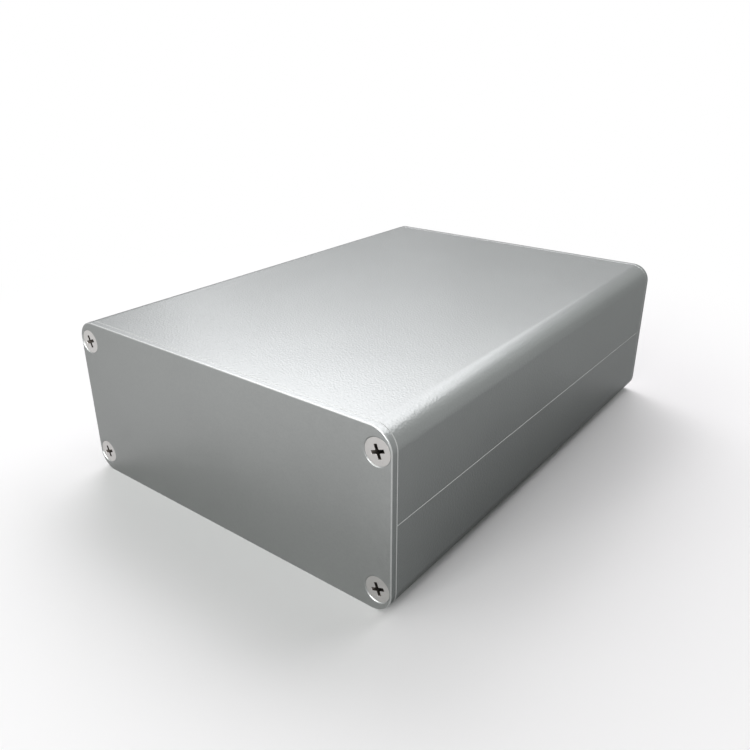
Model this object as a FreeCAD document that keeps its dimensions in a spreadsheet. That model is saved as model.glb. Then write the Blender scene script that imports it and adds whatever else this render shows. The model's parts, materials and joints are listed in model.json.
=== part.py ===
import FreeCAD, Part
import Sketcher
import os
import re

from FreeCAD import Placement, Rotation, Vector

# Split aluminium enclosure. Two lengths of one extrusion close over each other with a tongue and
# groove, and two flat end plates hold them together with four countersunk screws each.
# Millimetres. +Z is up, the front plate faces -Y, and the origin is the middle of the underside.

# Driving dimensions: name, value, what it measures. Angles are in degrees.
DIMENSIONS = (
    ("caseWidth", 88.0, "outside width, along X"),
    ("caseHeight", 38.0, "outside height of the closed case"),
    ("shellLength", 119.0, "length that both halves are sawn to"),
    ("cornerRadius", 4.5, "outside radius of the four long corners"),
    ("wallThickness", 1.6, "wall of the extrusion"),
    ("shellEdgeBevel", 0.15, "bevel round the sawn ends of the halves"),
    ("seamWall", 3.0, "thickened wall where the halves meet"),
    ("seamWallHeight", 4.0, "height of that thickening in one half"),
    ("seamBevel", 0.15, "bevel along the outside edge of the joint"),
    ("tongueWidth", 1.0, "tongue that enters the other half"),
    ("tongueHeight", 1.2, "how far the tongue stands up"),
    ("tongueLead", 0.25, "bevel on the tongue's two tips"),
    ("seamClearance", 0.1, "play round the tongue in its groove"),
    ("boardThickness", 1.6, "circuit board that the rails take"),
    ("boardClearance", 0.1, "play above and below the board"),
    ("railDepth", 2.0, "how far the card rails stand off the wall"),
    ("railThickness", 1.0, "one card rail"),
    ("lowSlotHeight", 9.0, "middle of the low board slot, above the underside"),
    ("highSlotHeight", 14.0, "middle of the high board slot, above the underside"),
    ("screwInsetX", 3.1, "screw axis to the side of the case"),
    ("screwInsetZ", 4.75, "screw axis to the top or underside"),
    ("channelWall", 1.1, "wall round a screw channel"),
    ("channelMouth", 1.3, "slit that opens a channel to the inside"),
    ("rootRadius", 0.6, "rounding where a channel stands on the inside floor"),
    ("plateThickness", 1.5, "end plate"),
    ("plateEdgeBevel", 0.2, "bevel round both faces of an end plate"),
    ("plateHole", 3.3, "hole through the end plate for a screw"),
    ("headDiameter", 5.2, "countersunk screw head"),
    ("headSink", 0.22, "how far the head lies below the plate's face"),
    ("countersinkAngle", 90.0, "full angle of the head and of its seat"),
    ("threadDiameter", 2.675, "mean diameter of the M3 thread"),
    ("threadClearance", 0.035, "thread to channel wall, on the radius"),
    ("screwLength", 8.0, "head face to tip"),
    ("screwTip", 0.4, "bevel at the tip"),
    ("recessSpan", 2.9, "cross recess, wing tip to wing tip"),
    ("recessFloor", 1.4, "the same at the bottom of the wings"),
    ("recessDepth", 1.2, "depth of the wings"),
    ("recessWing", 0.5, "thickness of a wing"),
    ("recessCore", 1.5, "diameter of the taper between the wings, at the head's face"),
    ("recessCoreFloor", 0.9, "the same at the bottom of the wings"),
    ("driveTurn", 21.0, "turn of the recess, anticlockwise as seen on the head"),
)

# Places that several features share, as expressions of the sizes above.
HALF_WIDTH = "caseWidth / 2"
SEAM = "caseHeight / 2"
INNER_WALL = "(caseWidth / 2 - wallThickness)"
RAIL_EDGE = "(caseWidth / 2 - wallThickness - railDepth)"
HALF_SLOT = "(boardThickness / 2 + boardClearance)"
SEAM_MIDDLE = "(caseWidth / 2 - seamWall / 2)"
SCREW_X = "(caseWidth / 2 - screwInsetX)"
CHANNEL_BORE = "(threadDiameter + 2 * threadClearance)"
CHANNEL_RADIUS = "(threadDiameter / 2 + threadClearance + channelWall)"
HEAD_SLOPE = "tan(countersinkAngle / 2)"
SEAT_DIAMETER = f"(headDiameter + 2 * headSink * {HEAD_SLOPE})"
HEAD_DEPTH = f"((headDiameter - threadDiameter) / 2 / {HEAD_SLOPE})"

TOUCH = 1e-4  # two places nearer than this are the same place

doc = FreeCAD.newDocument("Enclosure")
sheet = doc.addObject("Spreadsheet::Sheet", "Dimensions")
for row, (name, number, meaning) in enumerate(DIMENSIONS, start=1):
    sheet.set(f"A{row}", name)
    sheet.set(f"B{row}", str(number))
    sheet.set(f"C{row}", meaning)
    sheet.setAlias(f"B{row}", name)
doc.recompute()


def bound(expression):
    """The expression with each size named in full, as setExpression needs it."""
    return re.sub(r"\b[A-Za-z]\w*\b(?!\()", lambda size: f"Dimensions.{size.group()}", expression)


def value(expression):
    """What an expression of the sizes comes to, as a number."""
    return float(sheet.evalExpression(bound(expression)))


def new_body(label):
    body = doc.addObject("PartDesign::Body", label)
    body.Label = label
    return body


def new_sketch(body, name, role="XZ_Plane"):
    """A sketch on one of the body's own origin planes. XZ looks along +Y, with X to the right."""
    sketch = body.newObject("Sketcher::SketchObject", name)
    plane = next(feature for feature in body.Origin.OriginFeatures if feature.Role == role)
    sketch.AttachmentSupport = [(plane, "")]
    sketch.MapMode = "FlatFace"
    return sketch


def pin(sketch, geometry, point, across, up):
    """Hold a point of a sketch at a place that two expressions give."""
    for kind, axis, expression in (("DistanceX", -2, across), ("DistanceY", -1, up)):
        if expression == "0":
            sketch.addConstraint(Sketcher.Constraint("PointOnObject", geometry, point, axis))
            continue
        constraint = Sketcher.Constraint(kind, -1, 1, geometry, point, value(expression))
        index = sketch.addConstraint(constraint)
        sketch.setExpression(f"Constraints[{index}]", bound(expression))


def add_polygon(sketch, corners):
    """A closed outline of straight lines, each corner pinned by two expressions."""
    places = [Vector(value(across), value(up), 0) for across, up in corners]
    first = sketch.GeometryCount
    for start, end in zip(places, places[1:] + places[:1]):
        sketch.addGeometry(Part.LineSegment(start, end), False)
    for number, (across, up) in enumerate(corners):
        line = first + number
        following = first + (number + 1) % len(corners)
        sketch.addConstraint(Sketcher.Constraint("Coincident", line, 2, following, 1))
        pin(sketch, line, 1, across, up)


def add_rectangle(sketch, left, right, low, high):
    add_polygon(sketch, [(left, low), (right, low), (right, high), (left, high)])


def add_circle(sketch, across, up, diameter):
    centre = Vector(value(across), value(up), 0)
    circle = sketch.addGeometry(Part.Circle(centre, Vector(0, 0, 1), value(diameter) / 2), False)
    pin(sketch, circle, 3, across, up)
    index = sketch.addConstraint(Sketcher.Constraint("Diameter", circle, value(diameter)))
    sketch.setExpression(f"Constraints[{index}]", bound(diameter))


def add_feature(body, kind, name, profile, side="One side", **sizes):
    """A feature made from a sketch, with its sizes bound to expressions."""
    feature = body.newObject(f"PartDesign::{kind}", name)
    feature.Profile = profile
    feature.SideType = side
    for size, expression in sizes.items():
        feature.setExpression(size, bound(expression))
    doc.recompute()
    return feature


def extrude(body, kind, name, profile):
    """A Pad or Pocket that runs the whole length of a shell, half each way."""
    return add_feature(body, kind, name, profile, "Symmetric", Length="shellLength")


def mirror_sides(body, name, features):
    """Repeat features on the other side of the case."""
    mirrored = body.newObject("PartDesign::Mirrored", name)
    mirrored.Originals = features
    plane = next(feature for feature in body.Origin.OriginFeatures if feature.Role == "YZ_Plane")
    mirrored.MirrorPlane = (plane, [""])
    body.Tip = mirrored
    doc.recompute()
    return mirrored


def dress_edges(body, kind, name, base, chosen, **sizes):
    """A Fillet or Chamfer on every edge of the base feature that the test chooses."""
    edges = [f"Edge{number}" for number, edge in enumerate(base.Shape.Edges, start=1) if chosen(edge)]
    feature = body.newObject(f"PartDesign::{kind}", name)
    feature.Base = (base, edges)
    for size, expression in sizes.items():
        feature.setExpression(size, bound(expression))
    doc.recompute()
    return feature


def same(first, second):
    return abs(first - second) < TOUCH


def lies_at(edge, axis, place):
    """True where the whole edge lies at one place along an axis."""
    box = edge.BoundBox
    low, high = {"x": (box.XMin, box.XMax), "y": (box.YMin, box.YMax), "z": (box.ZMin, box.ZMax)}[axis]
    return same(low, place) and same(high, place)


def is_long(edge):
    """True for an edge that runs from one sawn end of a shell to the other."""
    return same(edge.BoundBox.YLength, value("shellLength"))


def make_shell(label):
    """One half of the case, open upwards: the section is made first and everything runs along Y."""
    body = new_body(label)
    seam = value(SEAM)
    end = value("shellLength / 2")

    block = new_sketch(body, "blockSection")
    add_rectangle(block, f"-{HALF_WIDTH}", HALF_WIDTH, "0", SEAM)
    pad = extrude(body, "Pad", "block", block)
    corners = dress_edges(body, "Fillet", "longCorners", pad,
                          lambda edge: is_long(edge) and lies_at(edge, "z", 0), Radius="cornerRadius")
    bevel = dress_edges(body, "Chamfer", "seamBevels", corners,
                        lambda edge: is_long(edge) and lies_at(edge, "z", seam), Size="seamBevel")
    dress_edges(body, "Chamfer", "sawnEnds", bevel,
                lambda edge: not lies_at(edge, "z", seam)
                and (lies_at(edge, "y", end) or lies_at(edge, "y", -end)), Size="shellEdgeBevel")

    cavity = new_sketch(body, "cavitySection")
    add_rectangle(cavity, f"-{INNER_WALL}", INNER_WALL, "wallThickness", "caseHeight")
    extrude(body, "Pocket", "cavity", cavity)

    # Added on the right and mirrored to the left.
    thick = new_sketch(body, "seamWallSection")
    add_rectangle(thick, "caseWidth / 2 - seamWall", INNER_WALL, f"{SEAM} - seamWallHeight", SEAM)
    round_part = new_sketch(body, "channelSection")
    add_circle(round_part, SCREW_X, "screwInsetZ", f"2 * {CHANNEL_RADIUS}")
    foot = new_sketch(body, "channelFootSection")
    add_rectangle(foot, f"{SCREW_X} - {CHANNEL_RADIUS}", INNER_WALL, "wallThickness", "screwInsetZ")
    shoulder = new_sketch(body, "channelShoulderSection")
    add_rectangle(shoulder, SCREW_X, INNER_WALL,
                  "screwInsetZ", f"lowSlotHeight - {HALF_SLOT} - railThickness")
    rails = new_sketch(body, "railSection")
    for height in ("lowSlotHeight", "highSlotHeight"):
        add_rectangle(rails, RAIL_EDGE, INNER_WALL,
                      f"{height} - {HALF_SLOT} - railThickness", f"{height} + {HALF_SLOT} + railThickness")
    added = mirror_sides(body, "addedLeft", [
        extrude(body, "Pad", "seamWall", thick),
        extrude(body, "Pad", "channel", round_part),
        extrude(body, "Pad", "channelFoot", foot),
        extrude(body, "Pad", "channelShoulder", shoulder),
        extrude(body, "Pad", "rails", rails),
    ])

    floor = value("wallThickness")
    foot_side = value(f"{SCREW_X} - {CHANNEL_RADIUS}")
    dress_edges(body, "Fillet", "channelRoots", added,
                lambda edge: is_long(edge) and lies_at(edge, "z", floor)
                and (lies_at(edge, "x", foot_side) or lies_at(edge, "x", -foot_side)), Radius="rootRadius")

    bores = new_sketch(body, "boreSection")
    for side in ("", "-"):
        add_circle(bores, f"{side}{SCREW_X}", "screwInsetZ", CHANNEL_BORE)
    extrude(body, "Pocket", "bores", bores)

    mouth = new_sketch(body, "mouthSection")
    add_rectangle(mouth, f"{SCREW_X} - 2 * {CHANNEL_RADIUS}", SCREW_X,
                  "screwInsetZ - channelMouth / 2", "screwInsetZ + channelMouth / 2")
    slots = new_sketch(body, "slotSection")
    for height in ("lowSlotHeight", "highSlotHeight"):
        add_rectangle(slots, f"{RAIL_EDGE} - railDepth", INNER_WALL,
                      f"{height} - {HALF_SLOT}", f"{height} + {HALF_SLOT}")
    mirror_sides(body, "cutLeft", [
        extrude(body, "Pocket", "channelMouth", mouth),
        extrude(body, "Pocket", "boardSlots", slots),
    ])

    groove = new_sketch(body, "grooveSection")
    add_rectangle(groove, f"{SEAM_MIDDLE} - tongueWidth / 2 - seamClearance",
                  f"{SEAM_MIDDLE} + tongueWidth / 2 + seamClearance",
                  f"{SEAM} - tongueHeight - seamClearance", "caseHeight")
    extrude(body, "Pocket", "groove", groove)
    tongue = new_sketch(body, "tongueSection")
    add_rectangle(tongue, f"-{SEAM_MIDDLE} - tongueWidth / 2", f"-{SEAM_MIDDLE} + tongueWidth / 2",
                  SEAM, f"{SEAM} + tongueHeight")
    tongue_pad = extrude(body, "Pad", "tongue", tongue)
    tip = value(f"{SEAM} + tongueHeight")
    dress_edges(body, "Chamfer", "tongueLeads", tongue_pad,
                lambda edge: is_long(edge) and lies_at(edge, "z", tip), Size="tongueLead")
    return body


def make_plate(label):
    """An end plate, its inner face on the body's XZ plane and its outer face towards -Y."""
    body = new_body(label)
    thickness = value("plateThickness")

    outline = new_sketch(body, "plateOutline")
    add_rectangle(outline, f"-{HALF_WIDTH}", HALF_WIDTH, "0", "caseHeight")
    pad = add_feature(body, "Pad", "plate", outline, Length="plateThickness")
    corners = dress_edges(body, "Fillet", "plateCorners", pad,
                          lambda edge: same(edge.BoundBox.YLength, thickness), Radius="cornerRadius")
    dress_edges(body, "Chamfer", "plateRims", corners,
                lambda edge: lies_at(edge, "y", 0) or lies_at(edge, "y", -thickness),
                Size="plateEdgeBevel")

    centres = new_sketch(body, "screwCentres")
    centres.setExpression("AttachmentOffset.Base.z", bound("plateThickness"))
    for side in ("", "-"):
        for height in ("screwInsetZ", "caseHeight - screwInsetZ"):
            add_circle(centres, f"{side}{SCREW_X}", height, "plateHole")
    doc.recompute()
    holes = body.newObject("PartDesign::Hole", "screwHoles")
    holes.Profile = centres
    holes.DepthType = "ThroughAll"
    holes.HoleCutType = "Countersink"
    holes.setExpression("Diameter", bound("plateHole"))
    holes.setExpression("HoleCutDiameter", bound(SEAT_DIAMETER))
    holes.setExpression("HoleCutCountersinkAngle", bound("countersinkAngle"))
    doc.recompute()
    return body


def make_screw(label):
    """A countersunk cross-recess screw along +Y, the face of its head on the XZ plane."""
    body = new_body(label)
    axis = next(feature for feature in body.Origin.OriginFeatures if feature.Role == "Y_Axis")

    profile = new_sketch(body, "screwProfile", "XY_Plane")
    add_polygon(profile, [
        ("0", "0"),
        ("headDiameter / 2", "0"),
        ("threadDiameter / 2", HEAD_DEPTH),
        ("threadDiameter / 2", "screwLength - screwTip"),
        ("threadDiameter / 2 - screwTip", "screwLength"),
        ("0", "screwLength"),
    ])
    turned = body.newObject("PartDesign::Revolution", "screwBlank")
    turned.Profile = profile
    turned.ReferenceAxis = (axis, [""])
    doc.recompute()

    wing = new_sketch(body, "wingProfile", "XY_Plane")
    add_polygon(wing, [
        ("-recessSpan / 2", "0"),
        ("recessSpan / 2", "0"),
        ("recessFloor / 2", "recessDepth"),
        ("-recessFloor / 2", "recessDepth"),
    ])
    slot = add_feature(body, "Pocket", "wing", wing, "Symmetric", Length="recessWing")
    cross = body.newObject("PartDesign::PolarPattern", "crossWings")
    cross.Originals = [slot]
    cross.Axis = (axis, [""])
    cross.Angle = 90
    cross.Occurrences = 2
    body.Tip = cross
    doc.recompute()

    core = new_sketch(body, "coreProfile", "XY_Plane")
    add_polygon(core, [
        ("0", "0"),
        ("recessCore / 2", "0"),
        ("recessCoreFloor / 2", "recessDepth"),
        ("0", "recessDepth"),
    ])
    taper = body.newObject("PartDesign::Groove", "recessCore")
    taper.Profile = core
    taper.ReferenceAxis = (axis, [""])
    doc.recompute()
    return body


lower_shell = make_shell("lower_shell")

# The upper half is the same extrusion turned over about Y, so each tongue meets a groove.
upper_shell = make_shell("upper_shell")
upper_shell.Placement = Placement(Vector(0, 0, 0), Rotation(Vector(0, 1, 0), 180))
upper_shell.setExpression("Placement.Base.z", bound("caseHeight"))

front_plate = make_plate("front_plate")
front_plate.setExpression("Placement.Base.y", bound("-shellLength / 2"))

rear_plate = make_plate("rear_plate")
rear_plate.Placement = Placement(Vector(0, 0, 0), Rotation(Vector(0, 0, 1), 180))
rear_plate.setExpression("Placement.Base.y", bound("shellLength / 2"))

# One screw, linked to the four corners of the front plate. The rear set is the front set turned about Z.
screw = make_screw("screw")
corner_screws = []
for side in ("", "-"):
    for height in ("screwInsetZ", "caseHeight - screwInsetZ"):
        link = doc.addObject("App::Link", "screwInCorner")
        link.LinkedObject = screw
        link.Placement = Placement(Vector(0, 0, 0), Rotation(Vector(0, -1, 0), value("driveTurn")))
        link.setExpression("Placement.Base.x", bound(f"{side}{SCREW_X}"))
        link.setExpression("Placement.Base.y", bound("headSink - shellLength / 2 - plateThickness"))
        link.setExpression("Placement.Base.z", bound(height))
        corner_screws.append(link)

screw_sets = []
for label, turn in (("front_plate_screws", 0), ("rear_plate_screws", 180)):
    screws = doc.addObject("Part::Compound", label)
    screws.Label = label
    screws.Links = corner_screws
    screws.Placement = Placement(Vector(0, 0, 0), Rotation(Vector(0, 0, 1), turn))
    screw_sets.append(screws)

doc.recompute()

for item in doc.Objects:
    if {"Invalid", "Error"} & set(item.State):
        raise RuntimeError(f"{item.Label} did not rebuild: {item.State}")

subparts = [lower_shell, upper_shell, front_plate, rear_plate] + screw_sets
os.makedirs("parts", exist_ok=True)
for subpart in subparts:
    if subpart.Shape.isNull() or not subpart.Shape.isValid():
        raise RuntimeError(f"{subpart.Label} has no valid shape")
for subpart in subparts:
    subpart.Shape.exportStep(f"parts/{subpart.Label}.step")
    print(subpart.Label, "solids", len(subpart.Shape.Solids), "volume", round(subpart.Shape.Volume, 1))
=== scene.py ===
import json
import math

import bpy
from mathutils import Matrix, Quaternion, Vector

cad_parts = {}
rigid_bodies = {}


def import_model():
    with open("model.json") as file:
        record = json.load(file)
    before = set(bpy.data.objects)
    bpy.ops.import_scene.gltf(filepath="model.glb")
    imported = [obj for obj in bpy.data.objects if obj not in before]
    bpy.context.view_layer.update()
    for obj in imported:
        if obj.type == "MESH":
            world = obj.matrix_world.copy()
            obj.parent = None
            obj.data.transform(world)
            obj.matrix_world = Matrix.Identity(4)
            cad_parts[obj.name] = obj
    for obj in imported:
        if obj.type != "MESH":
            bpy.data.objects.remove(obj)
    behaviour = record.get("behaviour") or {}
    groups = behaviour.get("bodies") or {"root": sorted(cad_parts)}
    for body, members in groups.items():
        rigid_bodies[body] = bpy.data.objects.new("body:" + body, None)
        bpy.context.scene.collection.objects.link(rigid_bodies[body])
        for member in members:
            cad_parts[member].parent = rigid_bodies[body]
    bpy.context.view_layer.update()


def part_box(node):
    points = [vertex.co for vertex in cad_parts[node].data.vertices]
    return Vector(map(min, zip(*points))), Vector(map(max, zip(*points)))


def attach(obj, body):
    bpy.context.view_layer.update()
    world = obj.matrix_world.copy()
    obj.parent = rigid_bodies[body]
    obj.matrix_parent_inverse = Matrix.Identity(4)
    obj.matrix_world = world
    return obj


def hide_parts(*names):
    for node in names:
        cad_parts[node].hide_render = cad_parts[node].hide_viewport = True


# Extruded aluminium enclosure: two half shells, two end plates, eight countersunk screws.
# Sizes in the dictionaries are millimetres and degrees, the scene is in metres.

bpy.ops.object.select_all(action="SELECT")
bpy.ops.object.delete()               # Blender's own cube, lamp and camera

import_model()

mm = 0.001
touch = 0.002                         # places nearer to each other than this are one place
mergeGap = 0.0005                     # points nearer to each other than this are merged
facing = 0.9                          # a face whose normal has this much of an axis faces along it
flatWeight = 100                      # 50 is neutral, more lets the largest faces set the shading
white = (1, 1, 1, 1)

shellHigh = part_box("lower_shell")[1] / mm
plateLow, plateHigh = (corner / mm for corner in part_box("front_plate"))
halfWidth = shellHigh.x
halfLength = shellHigh.y
caseHeight = plateHigh.z
seamHeight = caseHeight / 2
plateThickness = plateHigh.y - plateLow.y
plateFace = plateLow.y                # outer face of the front plate, along Y
plateBack = plateFace + plateThickness
print("frame: half width", round(halfWidth, 2), "half length", round(halfLength, 2))


# General helpers

def near(first, second):
    return abs(first - second) < touch


def selectOnly(piece):
    bpy.ops.object.select_all(action="DESELECT")
    piece.select_set(True)
    bpy.context.view_layer.objects.active = piece


def takeNew(name):                    # the object just added, its size and place moved into its mesh
    piece = bpy.context.object
    piece.name = name
    selectOnly(piece)
    bpy.ops.object.transform_apply(location=True, rotation=True, scale=True)
    return piece


def addBlock(name, corner, opposite):         # a cube stretched between two corners
    low = Vector([min(pair) for pair in zip(corner, opposite)]) * mm
    high = Vector([max(pair) for pair in zip(corner, opposite)]) * mm
    bpy.ops.mesh.primitive_cube_add(size=1, location=(low + high) / 2, scale=high - low)
    return takeNew(name)


def addCylinder(name, radius, length, middle, sides, tilt):   # along Z, then tilted about X
    bpy.ops.mesh.primitive_cylinder_add(
        vertices=sides, radius=radius * mm, depth=length * mm,
        location=[place * mm for place in middle], rotation=(math.radians(tilt), 0, 0))
    return takeNew(name)


def startPicking(piece, kind):        # no face, edge or point is picked yet
    selectOnly(piece)
    bpy.ops.object.mode_set(mode="EDIT")
    bpy.ops.mesh.select_mode(type=kind)
    bpy.ops.mesh.select_all(action="DESELECT")
    bpy.ops.object.mode_set(mode="OBJECT")


def editFaces(piece, test):           # into edit mode with the faces that the test picks
    startPicking(piece, "FACE")
    for face in piece.data.polygons:
        face.select = test(face.center / mm, face.normal)
    bpy.ops.object.mode_set(mode="EDIT")


def editEdges(piece, test):           # into edit mode with the edges that the test picks by their ends
    startPicking(piece, "EDGE")
    points = piece.data.vertices
    for edge in piece.data.edges:
        start, end = (points[index].co / mm for index in edge.vertices)
        edge.select = test(start, end)
    bpy.ops.object.mode_set(mode="EDIT")


def editAll(piece):                   # into edit mode with the whole mesh
    selectOnly(piece)
    bpy.ops.object.mode_set(mode="EDIT")
    bpy.ops.mesh.select_all(action="SELECT")


def roundEdges(piece, test, radius, segments):
    editEdges(piece, test)
    bpy.ops.mesh.bevel(offset=radius * mm, segments=segments, profile=0.5, affect="EDGES")
    bpy.ops.object.mode_set(mode="OBJECT")


def bevelEdges(piece, test, size):    # a flat bevel is a rounding of one segment
    roundEdges(piece, test, size, 1)


def combine(piece, tool, operation):  # boolean with a tool that is used up
    selectOnly(piece)
    modifier = piece.modifiers.new("combine", "BOOLEAN")
    modifier.operation = operation
    modifier.solver = "EXACT"
    modifier.object = tool
    bpy.ops.object.modifier_apply(modifier=modifier.name)
    bpy.data.objects.remove(tool)


def copyPiece(piece, name):
    double = piece.copy()
    double.data = piece.data.copy()
    double.name = double.data.name = name
    bpy.context.scene.collection.objects.link(double)
    return double


def turnPiece(piece, degrees, axis, centre):  # turns the mesh itself, the object stays unturned
    editAll(piece)
    angle = -math.radians(degrees)            # with no window open it turns the other way
    bpy.ops.transform.rotate(value=angle, orient_axis=axis, orient_type="GLOBAL",
                             center_override=Vector(centre) * mm)
    bpy.ops.object.mode_set(mode="OBJECT")


def movePiece(piece, offset):
    editAll(piece)
    bpy.ops.transform.translate(value=Vector(offset) * mm)
    bpy.ops.object.mode_set(mode="OBJECT")


def cleanMesh(piece):                 # merged, normals outwards
    editAll(piece)
    bpy.ops.mesh.remove_doubles(threshold=mergeGap * mm)
    bpy.ops.mesh.normals_make_consistent(inside=False)
    bpy.ops.object.mode_set(mode="OBJECT")


def smoothPiece(piece, sharpAngle):   # rounds shade smoothly, the large flats stay flat
    selectOnly(piece)
    bpy.ops.object.shade_smooth_by_angle(angle=math.radians(sharpAngle))
    modifier = piece.modifiers.new("flats", "WEIGHTED_NORMAL")
    modifier.keep_sharp = True
    modifier.weight = flatWeight
    bpy.ops.object.modifier_apply(modifier=modifier.name)


# Half shells: one extrusion, the upper half is the lower one turned over

shell = {
    "wall": 1.6,
    "cornerRadius": 4.5,
    "cornerSegments": 18,
    "endBevel": 0.2,                  # edge break round the sawn ends
    "seamBevel": 0.06,                # edge break along the joint between the halves
    "seamWall": 3.0,                  # the wall is thicker beside the joint
    "seamWallHeight": 4.0,
    "tongueWidth": 1.0,
    "tongueHeight": 1.2,
    "tonguePlay": 0.1,
    "tongueLead": 0.25,
    "leadSegments": 3,
    "railDepth": 2.0,
    "railThickness": 1.0,
    "slotHeights": (9.0, 14.0),       # middles of the board slots
    "slotWidth": 1.8,
    "rootRadius": 0.6,                # where a channel stands on the floor
    "rootSegments": 5,
    "inWall": 0.2,                    # how far an added rib reaches into the wall that carries it
    "past": 1.0,                      # how far a cutter reaches past what it cuts
    "sharpAngle": 40,                 # edges sharper than this stay sharp in the shading
}

channel = {
    "insetX": 3.1,                    # screw axis to the side of the case
    "insetZ": 4.75,                   # screw axis to the top or underside
    "bore": 2.745,
    "wall": 1.1,
    "mouth": 1.3,
    "sides": 48,
    "outerSegments": 14,
}

channelX = halfWidth - channel["insetX"]
channelZ = channel["insetZ"]
channelOuter = channel["bore"] / 2 + channel["wall"]


def makeHalfShell(name):
    wall = shell["wall"]
    inWall = shell["inWall"]
    innerX = halfWidth - wall
    channelEdge = channelX - channelOuter
    cutFrom = -halfLength - shell["past"]
    cutTo = halfLength + shell["past"]

    def isLong(start, end):
        return abs(start.y - end.y) > halfLength

    def atEnd(start, end):
        return near(start.y, end.y) and near(abs(start.y), halfLength)

    def addRib(ribName, side, inner, low, high):      # on the inside of a side wall
        return addBlock(ribName, (side * inner, -halfLength, low),
                        (side * (innerX + inWall), halfLength, high))

    half = addBlock(name, (-halfWidth, -halfLength, 0), (halfWidth, halfLength, seamHeight))
    roundEdges(half, lambda start, end: isLong(start, end) and near(start.z, 0),
               shell["cornerRadius"], shell["cornerSegments"])
    bevelEdges(half, lambda start, end: isLong(start, end) and near(start.z, seamHeight),
               shell["seamBevel"])
    bevelEdges(half, lambda start, end: atEnd(start, end)
               and not (near(start.z, seamHeight) and near(end.z, seamHeight)), shell["endBevel"])
    cavity = addBlock("cavity", (-innerX, cutFrom, wall), (innerX, cutTo, caseHeight))
    combine(half, cavity, "DIFFERENCE")

    slotHalf = shell["slotWidth"] / 2
    mouthHalf = channel["mouth"] / 2
    for side in (1, -1):
        boss = addRib("boss", side, channelEdge, wall - inWall, channelZ + channelOuter)
        roundEdges(boss, lambda start, end: isLong(start, end) and start.z > wall
                   and near(abs(start.x), channelEdge), channelOuter, channel["outerSegments"])
        combine(half, boss, "UNION")
        for height in shell["slotHeights"]:
            for direction in (1, -1):
                rail = addRib("rail", side, innerX - shell["railDepth"],
                              height + direction * slotHalf,
                              height + direction * (slotHalf + shell["railThickness"]))
                combine(half, rail, "UNION")
        thickening = addRib("thickening", side, halfWidth - shell["seamWall"],
                            seamHeight - shell["seamWallHeight"], seamHeight)
        combine(half, thickening, "UNION")
        roundEdges(half, lambda start, end: isLong(start, end) and near(start.z, wall)
                   and near(start.x, side * channelEdge), shell["rootRadius"], shell["rootSegments"])

        bore = addCylinder("bore", channel["bore"] / 2, cutTo - cutFrom,
                           (side * channelX, 0, channelZ), channel["sides"], 90)
        combine(half, bore, "DIFFERENCE")
        mouth = addBlock("mouth", (side * channelX, cutFrom, channelZ - mouthHalf),
                         (side * (channelX - 2 * channelOuter), cutTo, channelZ + mouthHalf))
        combine(half, mouth, "DIFFERENCE")

    seamX = halfWidth - shell["seamWall"] / 2         # middle of the thick wall
    grooveHalf = shell["tongueWidth"] / 2 + shell["tonguePlay"]
    grooveFloor = seamHeight - shell["tongueHeight"] - shell["tonguePlay"]
    groove = addBlock("groove", (seamX - grooveHalf, cutFrom, grooveFloor),
                      (seamX + grooveHalf, cutTo, caseHeight))
    combine(half, groove, "DIFFERENCE")
    tongueHalf = shell["tongueWidth"] / 2
    tongue = addBlock("tongue", (-seamX - tongueHalf, -halfLength, seamHeight - inWall),
                      (-seamX + tongueHalf, halfLength, seamHeight + shell["tongueHeight"]))
    roundEdges(tongue, lambda start, end: isLong(start, end) and start.z > seamHeight,
               shell["tongueLead"], shell["leadSegments"])
    combine(half, tongue, "UNION")
    cleanMesh(half)
    return half


# End plates: cut from sheet, four countersunk holes

plate = {
    "cornerRadius": 4.5,
    "cornerSegments": 18,
    "rimRound": 0.2,                  # outer rim, tumbled
    "rimSegments": 4,
    "innerRim": 0.05,                 # rim at the shells
    "innerRimSegments": 2,
    "hole": 3.3,
    "seat": 5.70,                     # countersink at the outer face
    "seatBreak": 0.04,                # edge break round it
    "seatBreakSegments": 2,
    "holeSides": 72,
    "holeStep": 1.0,                  # one side of a hole is shorter than this
    "past": 0.5,                      # how far a cutter reaches past what it cuts
    "sharpAngle": 40,
}

holePlaces = [(side * channelX, height)
              for side in (-1, 1) for height in (channelZ, caseHeight - channelZ)]


def toScrewAxis(point):               # how far a point lies from the nearest screw's axis
    return min(math.hypot(point.x - x, point.z - z) for x, z in holePlaces)


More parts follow.
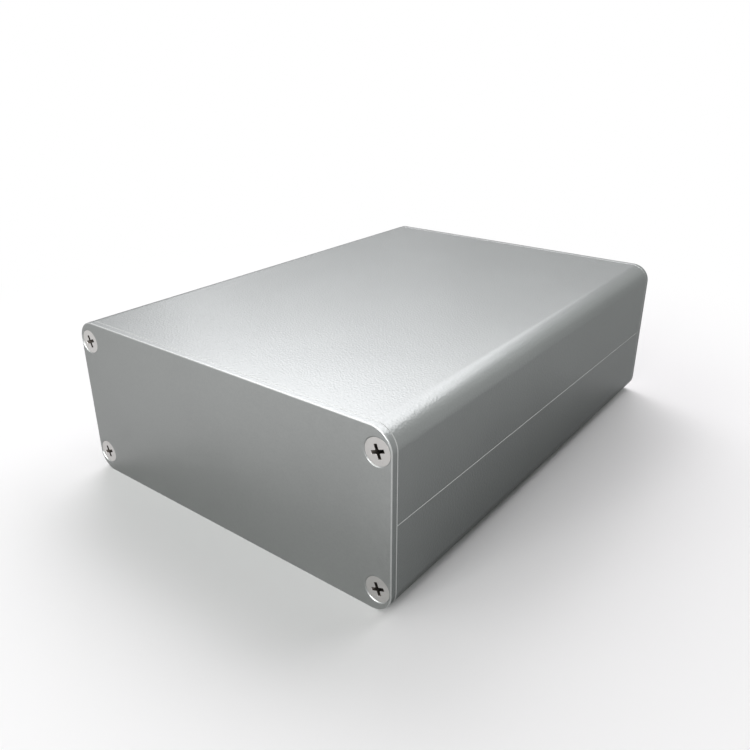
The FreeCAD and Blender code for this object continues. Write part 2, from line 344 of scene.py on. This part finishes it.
def makeEndPlate(name):
    board = addBlock(name, (-halfWidth, plateFace, 0), (halfWidth, plateBack, caseHeight))
    roundEdges(board, lambda start, end: not near(start.y, end.y),
               plate["cornerRadius"], plate["cornerSegments"])
    roundEdges(board, lambda start, end: near(start.y, plateFace) and near(end.y, plateFace),
               plate["rimRound"], plate["rimSegments"])
    roundEdges(board, lambda start, end: near(start.y, plateBack) and near(end.y, plateBack),
               plate["innerRim"], plate["innerRimSegments"])

    past = plate["past"]
    seatDepth = (plate["seat"] - plate["hole"]) / 2   # a 90 degree countersink
    flare = (plate["seat"] / 2 + past) / (plate["hole"] / 2)
    cutFrom = plateFace + seatDepth
    cutTo = plateBack + past
    for x, z in holePlaces:
        cutter = addCylinder("cutter", plate["hole"] / 2, cutTo - cutFrom,
                             (x, (cutFrom + cutTo) / 2, z), plate["holeSides"], 90)
        editFaces(cutter, lambda centre, normal: normal.y < -facing)
        bpy.ops.mesh.extrude_region_move(
            TRANSFORM_OT_translate={"value": (0, -(seatDepth + past) * mm, 0)})
        bpy.ops.transform.resize(value=(flare, 1, flare),
                                 center_override=(x * mm, (plateFace - past) * mm, z * mm))
        bpy.ops.object.mode_set(mode="OBJECT")
        combine(board, cutter, "DIFFERENCE")

    def atSeat(point):
        return near(point.y, plateFace) and near(toScrewAxis(point), plate["seat"] / 2)

    roundEdges(board, lambda start, end: atSeat(start) and atSeat(end)
               and (start - end).length < plate["holeStep"],
               plate["seatBreak"], plate["seatBreakSegments"])
    cleanMesh(board)
    return board


# Screws: M3, countersunk, cross recess

screw = {
    "head": 5.4,
    "headSink": 0.15,                 # head face below the face of the plate
    "rimRound": 0.05,
    "rimSegments": 2,
    "length": 8.0,
    "threadOuter": 2.96,
    "threadCore": 2.39,
    "threadStart": 0.9,               # middle of the ridge's first turn, inside the head
    "pitch": 0.5,
    "crest": 0.07,
    "ridgeBase": 0.48,                # width of the ridge at its base, a little under the pitch
    "ridgeRoot": 0.15,                # how far the ridge reaches into the core
    "tip": 0.45,
    "crestRoom": 0.05,                # the blank's straight part stays clear of the crests
    "spare": 1.0,                     # the core is made this much too long, then cut off at the tip
    "stepsPerTurn": 24,
    "sides": 48,
    "recessSpan": 2.9,                # wing tip to wing tip at the face
    "recessFloor": 1.6,
    "recessDepth": 1.3,
    "wing": 0.66,
    "wingFloor": 0.52,
    "core": 1.1,
    "coreFloor": 0.8,
    "point": 0.35,                    # the drill point under the wings
    "pointEnd": 0.05,                 # its end, as a share of the core's floor
    "driveTurn": 21.0,                # anticlockwise as seen on the head
    "past": 0.2,                      # how far a cutter reaches past what it cuts
    "sharpAngle": 35,
}


def addRound(name, radius, low, high):        # a cylinder round Z
    return addCylinder(name, radius, high - low, (0, 0, (low + high) / 2), screw["sides"], 0)


def shapeEnd(solid, height, length, scaleX, scaleY):  # draws out and scales the end at that height
    editFaces(solid, lambda centre, normal: near(centre.z, height) and abs(normal.z) > facing)
    if length:
        bpy.ops.mesh.extrude_region_move(TRANSFORM_OT_translate={"value": (0, 0, length * mm)})
    bpy.ops.transform.resize(value=(scaleX, scaleY, 1), center_override=(0, 0, (height + length) * mm))
    bpy.ops.object.mode_set(mode="OBJECT")


def makeThread():                     # a ridge wound round Z, closed at both ends
    low = screw["threadStart"]
    turns = math.ceil((screw["length"] - low) / screw["pitch"]) + 1   # the last one is cut off
    inner = screw["threadCore"] / 2 - screw["ridgeRoot"]
    outer = screw["threadOuter"] / 2
    base = screw["ridgeBase"]
    bpy.ops.mesh.primitive_plane_add(size=1, location=((inner + outer) / 2 * mm, 0, low * mm),
                                     rotation=(math.radians(90), 0, 0))
    bpy.context.object.scale = ((outer - inner) * mm, base * mm, 1)
    ridge = takeNew("thread")
    editEdges(ridge, lambda start, end: near(start.x, outer) and near(end.x, outer))
    bpy.ops.transform.resize(value=(1, 1, screw["crest"] / base),
                             center_override=(outer * mm, 0, low * mm))
    bpy.ops.object.mode_set(mode="OBJECT")
    selectOnly(ridge)
    modifier = ridge.modifiers.new("wind", "SCREW")
    modifier.axis = "Z"
    modifier.angle = math.radians(360)
    modifier.screw_offset = screw["pitch"] * mm
    modifier.iterations = turns
    modifier.steps = modifier.render_steps = screw["stepsPerTurn"]
    bpy.ops.object.modifier_apply(modifier=modifier.name)
    editAll(ridge)
    bpy.ops.mesh.fill_holes(sides=4)          # the ridge's section has four sides
    bpy.ops.object.mode_set(mode="OBJECT")
    cleanMesh(ridge)
    return ridge


def makeScrew(name):                  # along Z: face of the head at 0, tip up
    headRadius = screw["head"] / 2
    outerRadius = screw["threadOuter"] / 2
    blankRadius = outerRadius + screw["crestRoom"]
    headDepth = headRadius - outerRadius
    shankFrom = headDepth / 2                 # inside the head
    tipFrom = screw["length"] - screw["tip"]
    tipShare = (outerRadius - screw["tip"]) / blankRadius
    headShare = outerRadius / headRadius

    shank = addRound("shank", screw["threadCore"] / 2, shankFrom, screw["length"] + screw["spare"])
    combine(shank, makeThread(), "UNION")
    blank = addRound("blank", blankRadius, shankFrom, tipFrom)
    shapeEnd(blank, tipFrom, screw["tip"], tipShare, tipShare)
    combine(shank, blank, "INTERSECT")

    body = addRound(name, headRadius, 0, headDepth)
    shapeEnd(body, headDepth, 0, headShare, headShare)
    combine(body, shank, "UNION")

    spanHalf = screw["recessSpan"] / 2
    wingHalf = screw["wing"] / 2
    depth = screw["recessDepth"]
    for turn in (0, 90):
        wing = addBlock("wing", (-spanHalf, -wingHalf, 0), (spanHalf, wingHalf, depth))
        shapeEnd(wing, depth, 0, screw["recessFloor"] / screw["recessSpan"],
                 screw["wingFloor"] / screw["wing"])
        shapeEnd(wing, 0, -screw["past"], 1, 1)
        turnPiece(wing, turn, "Z", (0, 0, 0))
        combine(body, wing, "DIFFERENCE")
    core = addRound("core", screw["core"] / 2, 0, depth)
    coreShare = screw["coreFloor"] / screw["core"]
    shapeEnd(core, depth, 0, coreShare, coreShare)
    shapeEnd(core, depth, screw["point"], screw["pointEnd"], screw["pointEnd"])
    shapeEnd(core, 0, -screw["past"], 1, 1)
    combine(body, core, "DIFFERENCE")
    roundEdges(body, lambda start, end: near(start.z, 0) and near(end.z, 0),
               screw["rimRound"], screw["rimSegments"])
    cleanMesh(body)
    return body


lowerHalf = makeHalfShell("lower_half")
upperHalf = copyPiece(lowerHalf, "upper_half")
turnPiece(upperHalf, 180, "Y", (0, 0, seamHeight))
for half, node in ((lowerHalf, "lower_shell"), (upperHalf, "upper_shell")):
    smoothPiece(half, shell["sharpAngle"])
    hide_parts(node)
    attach(half, "root")
print("half shells:", len(lowerHalf.data.polygons), "faces each")

frontPlate = makeEndPlate("front_end_plate")
rearPlate = copyPiece(frontPlate, "rear_end_plate")
turnPiece(rearPlate, 180, "Z", (0, 0, 0))
for board, node in ((frontPlate, "front_plate"), (rearPlate, "rear_plate")):
    smoothPiece(board, plate["sharpAngle"])
    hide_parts(node)
    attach(board, "root")
print("end plates:", len(frontPlate.data.polygons), "faces each")

cornerNames = ("lower_left", "upper_left", "lower_right", "upper_right")
blankScrew = makeScrew("screw")
turnPiece(blankScrew, -screw["driveTurn"], "Z", (0, 0, 0))
turnPiece(blankScrew, -90, "X", (0, 0, 0))
screws = []
for end, turn in (("front", 0), ("rear", 180)):
    for corner, (x, z) in zip(cornerNames, holePlaces):
        piece = copyPiece(blankScrew, end + "_screw_" + corner)
        movePiece(piece, (x, plateFace + screw["headSink"], z))
        turnPiece(piece, turn, "Z", (0, 0, 0))
        smoothPiece(piece, screw["sharpAngle"])
        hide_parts(end + "_plate_screws")
        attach(piece, "root")
        screws.append(piece)
bpy.data.objects.remove(blankScrew)
print("screws:", len(screws), "of", len(screws[0].data.polygons), "faces")


# Finishes

noiseSpan = (0.3, 0.7)                # noise seldom leaves this part of its range


def toLinear(hexColour):              # "#RRGGBB" in sRGB to linear RGBA
    channels = [int(hexColour[place:place + 2], 16) / 255 for place in (1, 3, 5)]
    return [c / 12.92 if c <= 0.04045 else ((c + 0.055) / 1.055) ** 2.4 for c in channels] + [1]


def perMetre(width):                  # texture scale for a pattern of that width in millimetres
    return 1 / (width * mm)


def newMaterial(name):
    material = bpy.data.materials.new(name)
    material.use_nodes = True
    material.node_tree.nodes.clear()
    return material


def addNode(material, kind, settings, links=()):      # a setting is a socket where the node has one
    node = material.node_tree.nodes.new(kind)
    for name, setting in settings.items():
        if isinstance(name, int) or name in node.inputs:
            node.inputs[name].default_value = setting
        else:
            setattr(node, name, setting)
    for name, source in dict(links).items():
        material.node_tree.links.new(source, node.inputs[name])
    return node


def addPlace(material):
    return addNode(material, "ShaderNodeTexCoord", {}).outputs["Object"]


def addMath(material, operation, first, second):
    return addNode(material, "ShaderNodeMath", {"operation": operation},
                   {0: first, 1: second}).outputs["Value"]


def addNoise(material, place, pattern):       # a pattern is (width, detail, roughness)
    width, detail, roughness = pattern
    return addNode(material, "ShaderNodeTexNoise",
                   {"Scale": perMetre(width), "Detail": detail, "Roughness": roughness},
                   {"Vector": place}).outputs["Fac"]


def spreadNoise(material, noise, low, high):
    return addNode(material, "ShaderNodeMapRange",
                   {"From Min": noiseSpan[0], "From Max": noiseSpan[1], "To Min": low, "To Max": high},
                   {"Value": noise}).outputs["Result"]


def addBump(material, height, depth):
    return addNode(material, "ShaderNodeBump", {"Strength": 1.0, "Distance": depth * mm},
                   {"Height": height}).outputs["Normal"]


def finishMetal(material, settings, links):
    shader = addNode(material, "ShaderNodeBsdfPrincipled", {"Metallic": 1.0, **settings}, links)
    addNode(material, "ShaderNodeOutputMaterial", {}, {"Surface": shader.outputs["BSDF"]})
    return material


# Aluminium, blasted with glass beads and then clear anodised: an even satin with a fine grain,
# which the eye reads as soft, cool and dry, with no streak from the die or the rolls.
blasted = {
    "extrusionColour": "#868988",
    "paintedLighterPlateColour": "#989A99",         # painted light: a shade lighter than the extrusion, for the light that falls on the front plate
    "lowAngleTint": (0.45, 0.45, 0.45, 1),    # the oxide keeps it from brightening at a low angle
    "edgeHighlightColour": "#B2B4B3",          # painted highlight: the broken edges are coloured brighter, for the light they catch
    # the painted highlight on the edges keeps brightening at a low angle
    "edgeHighlightLowAngleTint": white,
    "jointShadeLowAngleTint": (0, 0, 0, 1),        # painted shade: black at a low angle, for the dark inside of the joint that a low view meets
    "roughness": (0.29, 0.37),
    "dimple": 0.45,                   # beads of 0.1 mm leave finer dimples, drawn coarser to show
    "dimpleSmoothness": 0.6,
    "extrusionDimpleDepth": 0.027,
    "sheetDimpleDepth": 0.009,        # the sheet is harder and was finer to start with
    "grain": (0.4, 2.0, 0.6),         # sparkle of single dimples, drawn coarser to show
    "grainShade": 0.03,
    "cloud": (22.0, 3.0, 0.5),        # slow change in the blast
    "cloudShade": 0.02,
}


def blastedAluminium(name, colour, lowAngleTint, dimpleDepth):
    material = newMaterial(name)
    place = addPlace(material)
    dimples = addNode(material, "ShaderNodeTexVoronoi",
                      {"feature": "SMOOTH_F1", "Scale": perMetre(blasted["dimple"]),
                       "Smoothness": blasted["dimpleSmoothness"]}, {"Vector": place})
    grain = addNoise(material, place, blasted["grain"])
    cloud = addNoise(material, place, blasted["cloud"])
    grainShade = spreadNoise(material, grain, 1 - blasted["grainShade"], 1 + blasted["grainShade"])
    cloudShade = spreadNoise(material, cloud, 1 - blasted["cloudShade"], 1 + blasted["cloudShade"])
    shade = addMath(material, "MULTIPLY", grainShade, cloudShade)
    tint = addNode(material, "ShaderNodeVectorMath", {"operation": "SCALE", 0: toLinear(colour)[:3]},
                   {"Scale": shade})
    roughness = spreadNoise(material, grain, *blasted["roughness"])
    height = addMath(material, "ADD", dimples.outputs["Distance"], grain)
    normal = addBump(material, height, dimpleDepth)
    return finishMetal(material, {"Specular Tint": lowAngleTint},
                       {"Base Color": tint.outputs["Vector"], "Roughness": roughness, "Normal": normal})


# Steel, barrel tumbled and nickel plated: brighter and warmer than the aluminium, a soft gloss.
nickel = {
    "colour": "#C0BEBC",
    "roughness": (0.27, 0.36),
    "tumble": (0.35, 4.0, 0.65),      # faint marks of the tumbling barrel
    "tumbleDepth": 0.0015,
    "recessShadeColour": "#56514D",        # painted shade: darker down in the recess, where little light reaches
    "recessRoughness": (0.42, 0.52),
}


def nickelPlatedSteel(name, colour, gloss):
    material = newMaterial(name)
    marks = addNoise(material, addPlace(material), nickel["tumble"])
    roughness = spreadNoise(material, marks, *gloss)
    normal = addBump(material, marks, nickel["tumbleDepth"])
    return finishMetal(material, {"Base Color": toLinear(colour)},
                       {"Roughness": roughness, "Normal": normal})


# Which faces get which finish. A normal's share along Y says how far a face leans to the front or rear.
sideLean = 0.15                       # sides lean less than this
bevelLean = (0.5, 0.9)                # the bevels round the sawn ends lean between these
rimLean = 0.99                        # a rounded rim leans less than this
margin = 0.02                         # faces nearer to a boundary than this lie on it
recessNarrowing = 0.25                # a cone that narrows like this holds the recess, not the thread


def inRecess(centre, normal):         # the walls and floor of a screw's recess, which get the painted shade
    depth = -(plateFace + screw["headSink"]) - abs(centre.y)
    return depth > margin and toScrewAxis(centre) + depth * recessNarrowing < screw["recessSpan"] / 2


def onShellEnd(centre, normal):       # the broken edges round the sawn ends
    return bevelLean[0] < abs(normal.y) < bevelLean[1]


def onJoint(centre, normal):          # the broken edges along the joint, seen from outside
    return (abs(centre.x) > halfWidth - shell["seamBevel"] and abs(normal.y) < bevelLean[0]
            and abs(centre.z - seamHeight) < shell["seamBevel"])


def besideSeats(centre):
    return toScrewAxis(centre) > plate["seat"] / 2 + plate["seatBreak"] + margin


def onPlateRim(centre, normal):       # the rounded rims, but not the countersinks
    return sideLean < abs(normal.y) < rimLean and besideSeats(centre)


def onPlateSide(centre, normal):      # the sheared edge of the sheet, all the way round
    return abs(normal.y) <= sideLean and besideSeats(centre)


def dress(piece, material):
    piece.data.materials.clear()
    piece.data.materials.append(material)


def dressFaces(piece, material, test):        # one more material, on the faces that the test picks
    piece.data.materials.append(material)
    editFaces(piece, test)
    piece.active_material_index = len(piece.data.materials) - 1
    bpy.ops.object.material_slot_assign()
    bpy.ops.object.mode_set(mode="OBJECT")


extrusionFinish = blastedAluminium("bead_blasted_anodised_extrusion", blasted["extrusionColour"],
                                   blasted["lowAngleTint"], blasted["extrusionDimpleDepth"])
plateFinish = blastedAluminium("bead_blasted_anodised_sheet", blasted["paintedLighterPlateColour"],
                               blasted["lowAngleTint"], blasted["sheetDimpleDepth"])
edgeHighlightFinish = blastedAluminium("anodised_aluminium_with_painted_highlight_at_the_edges", blasted["edgeHighlightColour"],
                              blasted["edgeHighlightLowAngleTint"], blasted["sheetDimpleDepth"])
jointHighlightFinish = blastedAluminium("anodised_aluminium_with_painted_highlight_along_the_joint", blasted["edgeHighlightColour"],
                               blasted["jointShadeLowAngleTint"], blasted["sheetDimpleDepth"])
screwFinish = nickelPlatedSteel("nickel_plated_steel", nickel["colour"], nickel["roughness"])
recessShadeFinish = nickelPlatedSteel("plated_steel_with_painted_shade_in_the_recess", nickel["recessShadeColour"],
                                 nickel["recessRoughness"])
for half in (lowerHalf, upperHalf):
    dress(half, extrusionFinish)
    # painted highlight on the broken edges round the sawn ends
    dressFaces(half, edgeHighlightFinish, onShellEnd)
    # painted highlight along the joint, with painted shade where it is seen at a low angle
    dressFaces(half, jointHighlightFinish, onJoint)
for board in (frontPlate, rearPlate):
    dress(board, plateFinish)
    # painted highlight on the rounded rims of the plates
    dressFaces(board, edgeHighlightFinish, onPlateRim)
    # the sheared edges keep the extrusion's colour, without the plates' painted lightness
    dressFaces(board, extrusionFinish, onPlateSide)
for piece in screws:
    dress(piece, screwFinish)
    dressFaces(piece, recessShadeFinish, inRecess)
print("finishes on")


# Studio: pale floor that runs out into white, soft lamps

studio = {
    "floorColour": "#F0F1F0",
    "floorRadius": 4000.0,
    "floorSides": 96,
    "fadeFrom": 42.0,                 # here the floor starts to turn into the white backdrop
    "fadeTo": 208.0,
    "backdrop": 1.0,                  # strength of the white that is seen and mirrored
    "ambient": 0.12,                  # strength of the same white as light
    "aim": (0, 0, 20),                # all lamps point here
    "lamps": {
        # name: place, size, watts, colour
        "rearSoftbox": ((-365, 521, 656), 700, 4.0, "#FEFAFE"),
        "leftSoftbox": ((-348, 243, 444), 300, 0.68, "#FEFAFE"),
        "leftSideSoftbox": ((-488, 178, 320), 300, 0.31, "#FEFAFE"),
        "rearLowSoftbox": ((-375, 375, 302), 300, 0.2, "#FEFAFE"),
        "rightHighSoftbox": ((118, 323, 511), 300, 0.95, "#FEFAFE"),
        "rightLowSoftbox": ((168, 462, 364), 500, 0.3, "#FFFFFF"),
        "leftLowSoftbox": ((-168, 462, 364), 300, 0.18, "#FEFAFE"),
        "frontFill": ((0, -587, 145), 300, 2.55, "#FFFFFF"),
        "leftFrontFill": ((-193, -530, 225), 300, 0.43, "#FFFFFF"),
        "leftHighFill": ((-300, -300, 444), 300, 0.4, "#FFFFFF"),
    },
}


def seenAsBackground(owner):          # 1 for the camera and for what metal mirrors, 0 for plain light
    path = addNode(owner, "ShaderNodeLightPath", {})
    both = addMath(owner, "MAXIMUM", path.outputs["Is Camera Ray"], path.outputs["Is Glossy Ray"])
    return addMath(owner, "MAXIMUM", both, path.outputs["Is Transmission Ray"])


def makeFloor():
    bpy.ops.mesh.primitive_circle_add(vertices=studio["floorSides"], radius=studio["floorRadius"] * mm,
                                      fill_type="NGON")
    floor = bpy.context.object
    floor.name = "floor"
    material = newMaterial("pale_studio_floor")
    reach = addNode(material, "ShaderNodeVectorMath", {"operation": "LENGTH"}, {0: addPlace(material)})
    fade = addNode(material, "ShaderNodeMapRange",
                   {"interpolation_type": "SMOOTHSTEP", "From Min": studio["fadeFrom"] * mm,
                    "From Max": studio["fadeTo"] * mm}, {"Value": reach.outputs["Value"]})
    share = addMath(material, "MULTIPLY", fade.outputs["Result"], seenAsBackground(material))
    paint = addNode(material, "ShaderNodeBsdfDiffuse", {"Color": toLinear(studio["floorColour"])})
    glow = addNode(material, "ShaderNodeEmission", {"Color": white, "Strength": studio["backdrop"]})
    mix = addNode(material, "ShaderNodeMixShader", {},
                  {0: share, 1: paint.outputs["BSDF"], 2: glow.outputs["Emission"]})
    addNode(material, "ShaderNodeOutputMaterial", {}, {"Surface": mix.outputs["Shader"]})
    dress(floor, material)


def makeRoom():
    world = bpy.data.worlds.new("white_room")
    bpy.context.scene.world = world
    world.use_nodes = True
    world.node_tree.nodes.clear()
    strength = addNode(world, "ShaderNodeMapRange",
                       {"To Min": studio["ambient"], "To Max": studio["backdrop"]},
                       {"Value": seenAsBackground(world)})
    room = addNode(world, "ShaderNodeBackground", {"Color": white},
                   {"Strength": strength.outputs["Result"]})
    addNode(world, "ShaderNodeOutputWorld", {}, {"Surface": room.outputs["Background"]})


def aimed(place, target):             # the turn of a lamp or camera at a place that looks at the target
    return (target - place).to_track_quat("-Z", "Y")


def addLamp(name, place, size, watts, colour):
    place = Vector(place) * mm
    bpy.ops.object.light_add(type="AREA", location=place)
    lamp = bpy.context.object
    lamp.name = name
    lamp.rotation_mode = "QUATERNION"
    lamp.rotation_quaternion = aimed(place, Vector(studio["aim"]) * mm)
    lamp.data.shape = "SQUARE"
    lamp.data.size = size * mm
    lamp.data.energy = watts
    lamp.data.color = toLinear(colour)[:3]
    lamp.visible_camera = False


makeFloor()
makeRoom()
for name, settings in studio["lamps"].items():
    addLamp(name, *settings)
print("studio lit")


# Camera: front right corner, a step above the object

camera = {
    "place": (104.424, -144.165, 93.975),
    "lookAt": (-6.81, 0.601, 12.307),
    "roll": -0.1,
    "lens": 35.15,
    "sensor": 36.0,
    "nearest": 1.0,                   # anything closer isn't drawn
}


def makeCamera():
    place = Vector(camera["place"]) * mm
    bpy.ops.object.camera_add(location=place)
    eye = bpy.context.object
    eye.rotation_mode = "QUATERNION"
    roll = Quaternion((0, 0, 1), math.radians(camera["roll"]))
    eye.rotation_quaternion = aimed(place, Vector(camera["lookAt"]) * mm) @ roll
    eye.data.lens = camera["lens"]
    eye.data.sensor_width = camera["sensor"]
    eye.data.clip_start = camera["nearest"] * mm
    bpy.context.scene.camera = eye


makeCamera()
bpy.context.scene.view_settings.view_transform = "Standard"
print("camera set")
